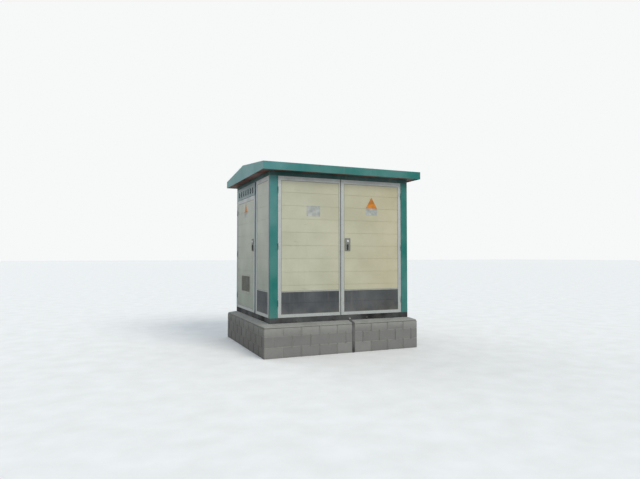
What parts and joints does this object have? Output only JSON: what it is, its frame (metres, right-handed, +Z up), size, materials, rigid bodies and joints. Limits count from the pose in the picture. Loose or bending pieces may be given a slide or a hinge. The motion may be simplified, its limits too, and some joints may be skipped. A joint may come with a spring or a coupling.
{
  "type": "compact substation",
  "caption": "Walk-round transformer kiosk on a block plinth: gabled roof, double front doors, end doors, transformer, low-voltage panel and high-voltage cabinet inside.",
  "frame": {"origin": "on the ground under the middle of the roof", "axes": "+X to the right along the front, +Y to the rear, +Z up; the double doors face -Y"},
  "size_m": [2.76, 2.42, 3.0735],
  "materials": {
    "plinth_block": "rough concrete block",
    "mortar": "trowelled mortar",
    "base_paint": "dark anti-rust paint",
    "zinc": "zinc plated",
    "earth_steel": "dark painted flat bar",
    "teal_paint": "satin paint",
    "dark_teal_paint": "satin paint",
    "grey_teal_paint": "satin paint",
    "silver_aluminium": "anodised",
    "window_metal": "dull anodised",
    "cream_board": "fine embossed coating",
    "grey_board": "fine embossed coating",
    "inner_paint": "light grey paint",
    "floor_plate": "worn plate",
    "primer_red": "red-brown primer",
    "tank_paint": "grey paint",
    "porcelain": "brown glaze",
    "black_plastic": "moulded",
    "breaker_plastic": "moulded",
    "copper": "bare copper",
    "cabinet_paint": "powder coat",
    "window_glass": "clear",
    "lock_plate_metal": "satin zinc alloy",
    "lock_chrome": "bright"
  },
  "bodies": {
    "case": {"plinth_blocks": "plinth_block", "mortar_cap": "mortar", "base_frame": "base_paint", "base_bolts": "zinc", "earth_strip": "earth_steel", "corner_posts": "teal_paint", "top_ring": "dark_teal_paint", "end_mullions": "grey_teal_paint", "transom_vents": "grey_teal_paint", "fixed_frames": "silver_aluminium", "fixed_boards": "cream_board", "fixed_kick_boards": "grey_board", "hinge_halves": "teal_paint", "partitions": "inner_paint", "floor_planks": "floor_plate", "roof_shell": "teal_paint", "roof_soffit": "primer_red", "transformer_tank": "tank_paint", "hv_bushings": "porcelain", "transformer_cover": "tank_paint", "lv_panel": "inner_paint", "lv_breakers": "breaker_plastic", "lv_busbars": "copper", "lv_bushings": "porcelain", "hv_cabinet": "cabinet_paint", "hv_covers": "cabinet_paint"},
    "front_left_leaf": {"front_left_frame": "silver_aluminium", "front_left_board": "cream_board", "front_left_kick": "grey_board"},
    "front_right_leaf": {"front_right_frame": "silver_aluminium", "front_right_board": "cream_board", "front_right_kick": "grey_board", "front_lock_plate": "lock_plate_metal"},
    "left_end_leaf": {"left_door_frame": "silver_aluminium", "left_door_board": "cream_board", "left_window_frame": "window_metal", "left_window_glass": "window_glass", "left_lock_plate": "lock_plate_metal"},
    "right_end_leaf": {"right_door_frame": "silver_aluminium", "right_door_board": "cream_board", "right_door_kick": "grey_board", "right_lock_plate": "lock_plate_metal"},
    "front_top_bolt": {"front_left_bolt_top": "zinc"},
    "front_foot_bolt": {"front_left_bolt_foot": "zinc"},
    "front_lever": {"front_lock_lever": "black_plastic", "front_lock_pinion": "zinc"},
    "front_cylinder": {"front_lock_cylinder": "lock_chrome"},
    "front_top_rod": {"front_rod_top": "zinc"},
    "front_foot_rod": {"front_rod_foot": "zinc"},
    "left_lever": {"left_lock_lever": "black_plastic"},
    "left_cylinder": {"left_lock_cylinder": "lock_chrome"},
    "right_lever": {"right_lock_lever": "black_plastic"},
    "right_cylinder": {"right_lock_cylinder": "lock_chrome"},
    "tap_changer_knob": {"tap_knob": "black_plastic"},
    "main_breaker_toggle": {"lv_main_toggle": "black_plastic"},
    "load_switch_knob": {"hv_load_switch_knob": "black_plastic"},
    "earth_switch_knob": {"hv_earth_switch_knob": "black_plastic"},
    "feeder_toggle_1": {"lv_feeder_toggle_1": "black_plastic"},
    "feeder_toggle_2": {"lv_feeder_toggle_2": "black_plastic"},
    "feeder_toggle_3": {"lv_feeder_toggle_3": "black_plastic"}
  },
  "joints": [
    {"name": "front_left_door", "type": "hinge", "parent": "case", "child": "front_left_leaf", "pos_m": [-1.093, -1.047, 1.675], "axis": [0, 0, -1], "range_deg": [0, 110]},
    {"name": "front_right_door", "type": "hinge", "parent": "case", "child": "front_right_leaf", "pos_m": [1.093, -1.047, 1.675], "axis": [0, 0, 1], "range_deg": [0, 110]},
    {"name": "left_end_door", "type": "hinge", "parent": "case", "child": "left_end_leaf", "pos_m": [-1.227, 0.988, 1.675], "axis": [0, 0, -1], "range_deg": [0, 110]},
    {"name": "right_end_door", "type": "hinge", "parent": "case", "child": "right_end_leaf", "pos_m": [1.227, 0.988, 1.675], "axis": [0, 0, 1], "range_deg": [0, 110]},
    {"name": "top_bolt_draw", "type": "slide", "parent": "front_left_leaf", "child": "front_top_bolt", "axis": [0, 0, -1], "range_m": [0, 0.022]},
    {"name": "foot_bolt_draw", "type": "slide", "parent": "front_left_leaf", "child": "front_foot_bolt", "axis": [0, 0, 1], "range_m": [0, 0.022]},
    {"name": "front_lever_turn", "type": "hinge", "parent": "front_right_leaf", "child": "front_lever", "pos_m": [0.093, -1.04, 1.708], "axis": [0, -1, 0], "range_deg": [0, 90]},
    {"name": "front_key_turn", "type": "hinge", "parent": "front_right_leaf", "child": "front_cylinder", "pos_m": [0.093, -1.04, 1.774], "axis": [0, -1, 0], "range_deg": [0, 90]},
    {"name": "left_lever_turn", "type": "hinge", "parent": "left_end_leaf", "child": "left_lever", "pos_m": [-1.22, -0.069, 1.708], "axis": [-1, 0, 0], "range_deg": [0, 90]},
    {"name": "left_key_turn", "type": "hinge", "parent": "left_end_leaf", "child": "left_cylinder", "pos_m": [-1.22, -0.069, 1.774], "axis": [-1, 0, 0], "range_deg": [0, 90]},
    {"name": "right_lever_turn", "type": "hinge", "parent": "right_end_leaf", "child": "right_lever", "pos_m": [1.22, -0.069, 1.708], "axis": [1, 0, 0], "range_deg": [0, 90]},
    {"name": "right_key_turn", "type": "hinge", "parent": "right_end_leaf", "child": "right_cylinder", "pos_m": [1.22, -0.069, 1.774], "axis": [1, 0, 0], "range_deg": [0, 90]},
    {"name": "top_rod_draw", "type": "slide", "parent": "front_right_leaf", "child": "front_top_rod", "axis": [0, 0, -1], "range_m": [0, 0.0188]},
    {"name": "foot_rod_draw", "type": "slide", "parent": "front_right_leaf", "child": "front_foot_rod", "axis": [0, 0, 1], "range_m": [0, 0.0188]},
    {"name": "tap_turn", "type": "hinge", "parent": "case", "child": "tap_changer_knob", "pos_m": [0.28, -0.6255, 1.492], "axis": [0, 0, 1], "range_deg": [0, 144]},
    {"name": "main_toggle_rock", "type": "hinge", "parent": "case", "child": "main_breaker_toggle", "pos_m": [0.115, 0.3865, 1.765], "axis": [0, 1, 0], "range_deg": [-30, 30]},
    {"name": "feeder_toggle_1_rock", "type": "hinge", "parent": "case", "child": "feeder_toggle_1", "pos_m": [0.115, 0.6265, 1.205], "axis": [0, 1, 0], "range_deg": [-30, 30]},
    {"name": "feeder_toggle_2_rock", "type": "hinge", "parent": "case", "child": "feeder_toggle_2", "pos_m": [0.115, 0.3865, 1.205], "axis": [0, 1, 0], "range_deg": [-30, 30]},
    {"name": "feeder_toggle_3_rock", "type": "hinge", "parent": "case", "child": "feeder_toggle_3", "pos_m": [0.115, 0.1465, 1.205], "axis": [0, 1, 0], "range_deg": [-30, 30]},
    {"name": "load_switch_turn", "type": "hinge", "parent": "case", "child": "load_switch_knob", "pos_m": [0.792, 0.2265, 1.635], "axis": [1, 0, 0], "range_deg": [0, 90]},
    {"name": "earth_switch_turn", "type": "hinge", "parent": "case", "child": "earth_switch_knob", "pos_m": [0.792, 0.5465, 1.635], "axis": [1, 0, 0], "range_deg": [0, 90]}
  ],
  "couplings": [
    {"joint": "front_lever_turn", "follows": "top_rod_draw", "rad_per_m": 83.333},
    {"joint": "foot_rod_draw", "follows": "top_rod_draw", "ratio": 1}
  ]
}
